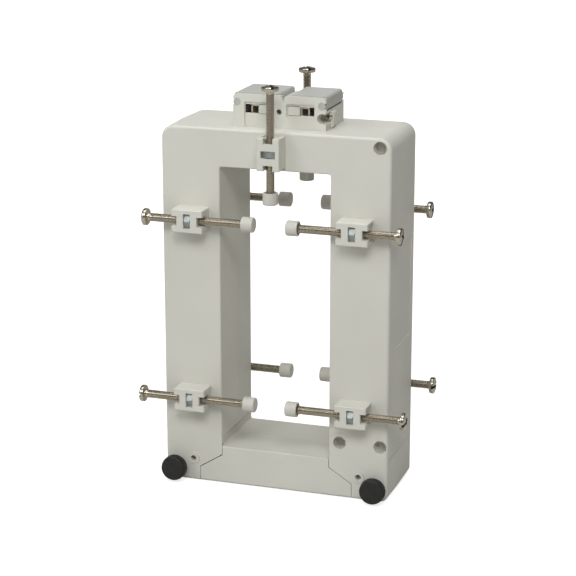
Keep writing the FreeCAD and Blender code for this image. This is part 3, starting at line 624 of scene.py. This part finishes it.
# Each drawn clamp screw ends where its packed one does, and its length under the head is the whole
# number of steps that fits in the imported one
clamp_names = sorted(name[:-len("_screw")] for name in nodes if is_clamp_screw(name))
low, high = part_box(clamp_names[0] + "_screw")
clamp_head = pan_head(min(high - low) / 2, CLAMP_SCREW)
for clamp in clamp_names:
    axis = clamp_axis(clamp)
    low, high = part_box(clamp + "_screw")
    full_length = abs((high - low).dot(axis))
    tip = (low + high) / 2 - axis * full_length / 2
    length = math.floor(full_length / LENGTH_STEP) * LENGTH_STEP
    screw = screw_mesh(clamp_head, length, CLAMP_SCREW, SLOT_TURNS[clamp])
    add_piece(clamp + "_threaded_screw", screw, frame_along(axis, tip + axis * length),
              body_of_node(clamp + "_screw"), clamp + "_screw")

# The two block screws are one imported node, so they are one piece; the right one faces the front
block_boxes = solids_of("terminal_base_screws")
low, high = block_boxes[0]
block_head = pan_head((high.x - low.x) / 2, BLOCK_SCREW)
block_mesh = screw_mesh(block_head, high.y - low.y - BLOCK_SCREW.head_height, BLOCK_SCREW)
block_placed = []
for low, high in block_boxes:
    axis = FRONT if low.x > 0 else BACK
    under_head = (low + high) / 2 + axis * ((high.y - low.y) / 2 - BLOCK_SCREW.head_height)
    block_placed.append((block_mesh, frame_along(axis, under_head)))
add_piece("cross_head_block_screws", joined("block_screws", block_placed), Matrix(),
          body_of_node("terminal_base_screws"), "terminal_base_screws")

for side in SIDES:
    node_name = side + "_terminal_screw"
    low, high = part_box(node_name)
    centre = (low + high) / 2
    head = pan_head((high.x - low.x) / 2, TERMINAL_SCREW)
    mesh = screw_mesh(head, high.z - low.z - TERMINAL_SCREW.head_height, TERMINAL_SCREW)
    under_head = Vector((centre.x, centre.y, high.z - TERMINAL_SCREW.head_height))
    add_piece(side + "_slotted_terminal_screw", mesh, frame_along(UP, under_head),
              body_of_node(node_name), node_name)


# Nuts

def hexagon_nut():
    """Hexagon nut along X with one corner along Y, its corners turned off at both ends, and a bore."""
    corner = NUT_FLATS / math.sqrt(3)
    half = NUT_HEIGHT / 2
    vertices = []
    for x in (-half, half):
        for i in range(6):
            angle = math.radians(60 * i)
            vertices.append(Vector((x, corner * math.cos(angle), corner * math.sin(angle))))
    faces = [list(range(6)), list(range(6, 12))]
    faces += [[i, (i + 1) % 6, 6 + (i + 1) % 6, 6 + i] for i in range(6)]
    hexagon = mesh_from("nut", vertices, faces, "zinc")
    past = half * TURNED_PAST
    inner = NUT_FLATS * TURNED_FACE
    outer = corner * TURNED_REACH
    slope = (outer - inner) * math.tan(TURNED_ANGLE)
    turning = mesh_from("turning", *turned([(-past, 0), (-past, inner), (slope - half, outer),
                                            (half - slope, outer), (past, inner), (past, 0)]), "zinc")
    bore_radius = CLAMP_SCREW.radius
    bore = mesh_from("bore", *turned([(-NUT_HEIGHT, 0), (-NUT_HEIGHT, bore_radius),
                                      (NUT_HEIGHT, bore_radius), (NUT_HEIGHT, 0)]), "zinc")
    return combined(combined(hexagon, [turning], "INTERSECT"), [bore], "DIFFERENCE")


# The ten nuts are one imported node, so they are one piece
nut = hexagon_nut()
nuts_placed = []
for low, high in solids_of("clamp_nuts"):
    size = high - low
    axis = SIDE_AXES["right"] if size.x < size.z else UP
    nuts_placed.append((nut, frame_along(axis, (low + high) / 2)))
add_piece("hexagon_clamp_nuts", joined("nuts", nuts_placed), Matrix(), body_of_node("clamp_nuts"),
          "clamp_nuts")


# Caps on the tips

def cap_mesh(radius, length):
    """Cup along X from its closed end at x = 0 to its mouth."""
    shoulder = length - CAP_MOUTH_DEPTH
    profile = [(0, 0)]
    profile += arc(CAP_ROUNDING, radius - CAP_ROUNDING, CAP_ROUNDING, 180, 90)
    profile += arc(length - CAP_LIP, radius - CAP_LIP, CAP_LIP, 90, 0)
    profile += [(length, CAP_MOUTH), (shoulder, CAP_MOUTH), (shoulder, CAP_BORE),
                (CAP_FLOOR, CAP_BORE), (CAP_FLOOR, 0)]
    return mesh_from("cap", *turned(profile), "cap")


low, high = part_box("front_top_cap")
cap_length = high.z - low.z
cap = cap_mesh((high.x - low.x) / 2, cap_length)
for clamp in clamp_names:
    axis = clamp_axis(clamp)
    low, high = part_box(clamp + "_cap")
    closed_end = (low + high) / 2 - axis * cap_length / 2
    add_piece(clamp + "_rounded_cap", cap, frame_along(axis, closed_end), body_of_node(clamp + "_cap"),
              clamp + "_cap")


# Thumb knobs

def knob_mesh(radius, length):
    """Knurled knob along X from the housing side at minus its length to its front disc at x = 0."""
    groove = radius - KNURL_DEPTH - KNURL_RUNOUT
    profile = [(-DIMPLE_DEPTH, 0, 0), (-DIMPLE_DEPTH, DIMPLE_FLOOR, 0), (0, DIMPLE_RADIUS, 0),
               (0, DISC_RADIUS - DISC_BEVEL, 0), (-DISC_BEVEL, DISC_RADIUS, 0),
               (-DISC_THICKNESS, DISC_RADIUS, 0), (-DISC_THICKNESS, groove, 0),
               (-DISC_THICKNESS - KNURL_RUNOUT, radius, KNURL_DEPTH),
               (DISC_THICKNESS + KNURL_RUNOUT - KNOB_THICKNESS, radius, KNURL_DEPTH),
               (-KNOB_THICKNESS, groove, 0), (-KNOB_THICKNESS, KNOB_NECK, 0),
               (-length, KNOB_NECK, 0), (-length, 0, 0)]
    return mesh_from("knob", *swept(profile, KNURL_TEETH * STEPS_PER_TOOTH, KNURL_TEETH), "knob")


low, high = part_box("left_thumb_knob")
knob = knob_mesh((high.x - low.x) / 2, high.y - low.y)
for side in SIDES:
    node_name = side + "_thumb_knob"
    low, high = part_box(node_name)
    disc_centre = Vector(((low.x + high.x) / 2, low.y, (low.z + high.z) / 2))
    add_piece(side + "_knurled_knob", knob, frame_along(FRONT, disc_centre), body_of_node(node_name),
              node_name)


# Studio

def calculated(tree, kind, operation, first, second):
    """Result of a maths node on two values, the second an output or a number."""
    node = tree.nodes.new(kind)
    node.operation = operation
    tree.links.new(first, node.inputs[0])
    if isinstance(second, bpy.types.NodeSocket):
        tree.links.new(second, node.inputs[1])
    else:
        node.inputs[1].default_value = second
    return node.outputs["Value"]


def seen_ray(tree, mirrored_share):
    """One for rays that show the background, from the camera or let through, and a share for mirrored ones."""
    path = tree.nodes.new("ShaderNodeLightPath")
    mirrored = calculated(tree, "ShaderNodeMath", "MULTIPLY", path.outputs["Is Glossy Ray"], mirrored_share)
    either = calculated(tree, "ShaderNodeMath", "MAXIMUM", path.outputs["Is Camera Ray"], mirrored)
    return calculated(tree, "ShaderNodeMath", "MAXIMUM", either, path.outputs["Is Transmission Ray"])


def mixed(tree, factor, first, second):
    """Shader that runs from the first to the second as the factor goes from zero to one."""
    mix = tree.nodes.new("ShaderNodeMixShader")
    tree.links.new(factor, mix.inputs["Fac"])
    tree.links.new(first, mix.inputs[1])
    tree.links.new(second, mix.inputs[2])
    return mix.outputs["Shader"]


def floor_material():
    """Pale diffuse floor; the camera and mirrored rays also see a glow that rises to white far away."""
    material, tree, shader, coordinate = start_material("floor_white", FLOOR_ROUGHNESS)
    shade = noise(tree, coordinate, FLOOR_CLOUDS)
    tree.links.new(colour_between(tree, shade, *FLOOR_TONES), shader.inputs["Base Color"])
    distance = tree.nodes.new("ShaderNodeVectorMath")
    distance.operation = "LENGTH"
    tree.links.new(coordinate, distance.inputs[0])
    glow = value_between(tree, distance.outputs["Value"], GLOW_START, GLOW_END, GLOW_NEAR, GLOW_FAR)
    emission = tree.nodes.new("ShaderNodeEmission")
    tree.links.new(glow, emission.inputs["Strength"])
    both = tree.nodes.new("ShaderNodeAddShader")
    tree.links.new(shader.outputs["BSDF"], both.inputs[0])
    tree.links.new(emission.outputs["Emission"], both.inputs[1])
    choice = mixed(tree, seen_ray(tree, MIRRORED_GLOW), shader.outputs["BSDF"], both.outputs["Shader"])
    tree.links.new(choice, tree.nodes["Material Output"].inputs["Surface"])
    return material


def area_light(name, place, target, size, power):
    data = bpy.data.lights.new(name, "AREA")
    data.shape = "RECTANGLE"
    data.size, data.size_y = size
    data.energy = power
    light = bpy.data.objects.new(name, data)
    bpy.context.scene.collection.objects.link(light)
    light.location = place
    light.rotation_mode = "QUATERNION"
    light.rotation_quaternion = (Vector(target) - Vector(place)).to_track_quat("-Z", "Y")


def room_light(tree, way, start, end, near, far, colour):
    """Background that runs from one strength to another as its direction turns towards the given way."""
    direction = tree.nodes.new("ShaderNodeTexCoord")
    across = calculated(tree, "ShaderNodeVectorMath", "DOT_PRODUCT", direction.outputs["Generated"], way)
    background = tree.nodes.new("ShaderNodeBackground")
    background.inputs["Color"].default_value = (*colour, 1)
    tree.links.new(value_between(tree, across, start, end, near, far), background.inputs["Strength"])
    return background.outputs["Background"]


floor_mesh = bpy.data.meshes.new("floor")
floor_mesh.from_pydata([(x, y, 0) for x, y in rectangle(FLOOR_HALF, FLOOR_HALF)], [], [[0, 1, 2, 3]])
floor = bpy.data.objects.new("floor", floor_mesh)
floor.location.z = -FLOOR_DROP
bpy.context.scene.collection.objects.link(floor)
floor_mesh.materials.append(floor_material())

for lamp in LAMPS:
    area_light(*lamp)

# The world is white for the camera; other rays see a dim room, and mirrored ones a backdrop in it
world = bpy.data.worlds.new("studio")
bpy.context.scene.world = world
world.use_nodes = True
world_tree = world.node_tree
white = world_tree.nodes["Background"]
white.inputs["Color"].default_value = (1, 1, 1, 1)
white.inputs["Strength"].default_value = 1.0
room = room_light(world_tree, BRIGHT_WAY, start=-0.3, end=0.5, near=0.17, far=0.4, colour=(1, 0.985, 0.96))
backdrop = room_light(world_tree, BACKDROP_WAY, start=0.75, end=0.97, near=0.1, far=1.0, colour=(1, 1, 1))
path = world_tree.nodes.new("ShaderNodeLightPath")
lit = mixed(world_tree, path.outputs["Is Glossy Ray"], room, backdrop)
world_tree.links.new(mixed(world_tree, seen_ray(world_tree, 0), lit, white.outputs["Background"]),
                     world_tree.nodes["World Output"].inputs["Surface"])

camera_data = bpy.data.cameras.new("camera")
camera_data.sensor_width = SENSOR_WIDTH
camera_data.lens = FOCAL_PIXELS * SENSOR_WIDTH / IMAGE_WIDTH
camera = bpy.data.objects.new("camera", camera_data)
bpy.context.scene.collection.objects.link(camera)
camera_way = Vector((math.sin(CAMERA_AZIMUTH) * math.cos(CAMERA_ELEVATION),
                     -math.cos(CAMERA_AZIMUTH) * math.cos(CAMERA_ELEVATION),
                     math.sin(CAMERA_ELEVATION)))
camera.location = CAMERA_TARGET + camera_way * CAMERA_DISTANCE
camera.rotation_mode = "QUATERNION"
camera.rotation_quaternion = (-camera_way).to_track_quat("-Z", "Y")
bpy.context.scene.camera = camera
bpy.context.scene.view_settings.view_transform = "Standard"
